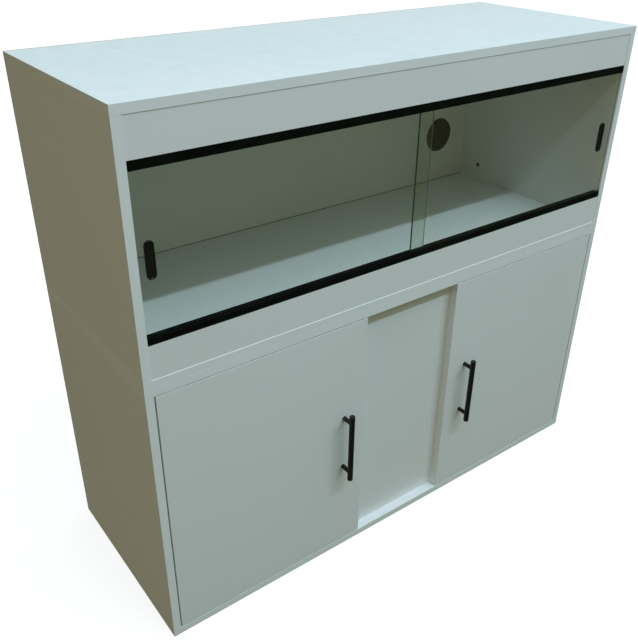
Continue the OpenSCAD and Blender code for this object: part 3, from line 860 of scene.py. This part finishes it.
def dowels(node):
    """Fluted dowels with chamfered ends."""
    bm = bmesh.new()
    corners = DOWEL_FLUTES * 4
    for points in solids(node):
        tail, head, radius, _ = rod_of(points)
        place = facing(tail, head - tail)
        length = (head - tail).length
        loops = []
        for scale, height in ((0.8, 0.0), (1.0, DOWEL_CHAMFER), (1.0, length - DOWEL_CHAMFER),
                              (0.8, length)):
            loop = []
            for i in range(corners):
                angle = 2 * math.pi * i / corners
                dip = 0.94 if i % 4 == 0 else 1.0
                loop.append(place @ Vector((radius * scale * dip * math.cos(angle),
                                            radius * scale * dip * math.sin(angle), height)))
            loops.append(loop)
        add_loft(bm, loops)
    return finished(node, bm, BEECH)


def door_stops():
    """White stop strips behind the doors' free edges."""
    bm = bmesh.new()
    for points in solids("door_stops"):
        add_block(bm, Vector(map(min, *points)), Vector(map(max, *points)), EDGING_ROUND)
    return finished("door_stops", bm, EDGING)


def softened(node, material, width):
    """A pressed or turned part of the frame with its sharp edges eased."""
    bm = bmesh.new()
    bm.from_mesh(frame["nodes"][node].data)
    bmesh.ops.remove_doubles(bm, verts=bm.verts, dist=MERGE)
    bmesh.ops.dissolve_limit(bm, angle_limit=SAME_PLANE, verts=bm.verts, edges=bm.edges)
    for face in bm.faces:
        face.material_index = 0
    piece = mesh_object(node + "_finished", bm, (material,))
    bevel = piece.modifiers.new("eased_edges", "BEVEL")
    bevel.width = width
    bevel.segments = 2
    bevel.limit_method = "ANGLE"
    bevel.angle_limit = BEVEL_FROM
    return stand_for(smooth(piece), node)


def door(side):
    """A door with all four edges banded, drilled for its hinge cups and handle screws."""
    node = side + "_door"
    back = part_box(node)[1].y
    holes = []
    for points in solids(side + "_hinge_cups"):
        cup_lo, cup_hi = Vector(map(min, *points)), Vector(map(max, *points))
        cup_x = cup_lo.x + CUP_R if side == "left" else cup_hi.x - CUP_R
        centre_z = (cup_lo.z + cup_hi.z) / 2
        holes.append((Vector((cup_x, back - CUP_DEPTH, centre_z)),
                      Vector((cup_x, back + 2 * MM, centre_z)), CUP_R))
    for points in solids(side + "_handle_screws"):
        _, head, radius, _ = rod_of(points)
        holes.append(node_hole(node, Y, head, radius))
    return board(node, (TOP, BOTTOM, LEFT, RIGHT), holes)


def fronts():
    """Both doors with their hardware, and both panes with their finger pulls."""
    for side in ("left", "right"):
        door(side)
        handle_bar(side + "_handle_bar")
        handle_posts(side + "_handle_posts")
        screws(side + "_handle_screws", 2.4 * MM)
        softened(side + "_hinge_cups", NICKEL, 0.25 * MM)
        softened(side + "_hinge_arms", NICKEL, 0.3 * MM)
        softened(side + "_hinge_plates", NICKEL, 0.4 * MM)
        softened(side + "_hinge_pins", NICKEL, 0.2 * MM)
        screws(side + "_cup_screws", 1.4 * MM)
        screws(side + "_plate_screws", 1.4 * MM, X)
        pane(side + "_glass")
        finger_pull(side + "_finger_pull")


def build():
    carcass_boards()
    back_panel("vivarium_back", "round_vent")
    back_panel("cabinet_back")
    glass_track("top_glass_track", False)
    glass_track("bottom_glass_track", True)
    round_vent()
    fronts()
    door_stops()
    screws("unit_joining_screws", 2.2 * MM)
    for unit in ("vivarium", "cabinet"):
        dowels(unit + "_dowels")
        nails(unit + "_back_nails")


# ---- stage, light and camera ----------------------------------------------------

def stage_floor():
    """A wide pale floor that the camera sees almost white, and that lights nothing."""
    bm = bmesh.new()
    reach = 14.0
    corners = [(-reach, -reach), (reach, -reach), (reach, reach), (-reach, reach)]
    bm.faces.new([bm.verts.new((x, y, 0.0)) for x, y in corners])
    s = Surface("pale_floor", (0.3, 0.3, 0.3), 0.9)
    s.shader.inputs["Emission Color"].default_value = (1, 1, 1, 1)
    s.shader.inputs["Emission Strength"].default_value = 0.8
    floor = mesh_object("floor", bm, (s.material,))
    floor.visible_diffuse = False
    floor.visible_glossy = False
    floor.visible_transmission = False


def strip_light(place, aim, length, width, power, colour):
    """A long softbox parallel to the front: its shadows are crisp along X and soft across it."""
    lamp = bpy.data.lights.new("strip_light", "AREA")
    lamp.shape = "RECTANGLE"
    lamp.size = length
    lamp.size_y = width
    lamp.energy = power
    lamp.color = colour
    lamp_object = bpy.data.objects.new("strip_light", lamp)
    back = (Vector(place) - Vector(aim)).normalized()
    across = Vector((1, 0, 0))
    across = (across - across.dot(back) * back).normalized()
    turn = Matrix((across, back.cross(across), back)).transposed().to_4x4()
    lamp_object.matrix_world = Matrix.Translation(place) @ turn
    bpy.context.scene.collection.objects.link(lamp_object)


def studio_air():
    """Soft light: a cool glow from overhead, and dimmer, warmer light from the room and the left."""
    world = bpy.data.worlds.new("studio")
    world.use_nodes = True
    bpy.context.scene.world = world
    tree = world.node_tree
    tree.nodes.clear()

    def glow(amount, colour):
        """Light of one colour, even all round or in an amount that depends on the direction."""
        node = tree.nodes.new("ShaderNodeBackground")
        node.inputs["Color"].default_value = (*colour, 1)
        if amount is not None:
            tree.links.new(amount, node.inputs["Strength"])
        return node.outputs["Background"]

    def both(a, b):
        node = tree.nodes.new("ShaderNodeAddShader")
        tree.links.new(a, node.inputs[0])
        tree.links.new(b, node.inputs[1])
        return node.outputs["Shader"]

    place = tree.nodes.new("ShaderNodeTexCoord")

    def lobe(towards, power, amount):
        """Light spread about a direction, falling to nothing at right angles to it."""
        dot = tree.nodes.new("ShaderNodeVectorMath")
        dot.operation = "DOT_PRODUCT"
        tree.links.new(place.outputs["Generated"], dot.inputs[0])
        dot.inputs[1].default_value = Vector(towards).normalized()
        facing_part = math_node(tree, "MAXIMUM", dot.outputs["Value"], 0.0)
        return math_node(tree, "MULTIPLY", math_node(tree, "POWER", facing_part, power), amount)

    everywhere = glow(None, (0.044, 0.047, 0.030))
    overhead = glow(lobe((0.2, -0.1, 1.0), 3.0, 1.98), (0.81, 1.0, 1.06))
    room = glow(lobe((0.0, -1.0, -0.1), 2.0, 0.12), (0.95, 1.0, 0.35))
    left = glow(lobe((-1.0, 0.0, 0.0), 2.0, 0.22), (1.0, 0.66, 0.20))
    lit = both(both(overhead, room), both(left, everywhere))
    seen = tree.nodes.new("ShaderNodeBackground")
    seen.inputs["Color"].default_value = (1, 1, 1, 1)
    ray = tree.nodes.new("ShaderNodeLightPath")
    choose = tree.nodes.new("ShaderNodeMixShader")
    tree.links.new(ray.outputs["Is Camera Ray"], choose.inputs["Fac"])
    tree.links.new(lit, choose.inputs[1])
    tree.links.new(seen.outputs["Background"], choose.inputs[2])
    out = tree.nodes.new("ShaderNodeOutputWorld")
    tree.links.new(choose.outputs["Shader"], out.inputs["Surface"])


def camera():
    """High and to the left of the front, looking down across it."""
    place = Vector((-0.985, -1.190, 1.319))
    aim = Vector((-0.201, -0.150, 0.5755))
    roll = math.radians(0.67)
    lens_mm, sensor_mm = 42.84, 36.0
    data = bpy.data.cameras.new("camera")
    data.lens = lens_mm
    data.sensor_width = sensor_mm
    data.clip_end = 100.0
    view = bpy.data.objects.new("camera", data)
    turn = (aim - place).to_track_quat("-Z", "Y").to_matrix().to_4x4()
    view.matrix_world = Matrix.Translation(place) @ turn @ Matrix.Rotation(roll, 4, "Z")
    bpy.context.scene.collection.objects.link(view)
    bpy.context.scene.camera = view
    bpy.context.scene.view_settings.view_transform = "Standard"


camera()
stage_floor()
studio_air()
strip_light(place=(0.75, -2.45, 4.05), aim=(0.0, -0.2, 0.8), length=3.0, width=0.10, power=65.0,
            colour=(0.78, 1.0, 1.22))
build()
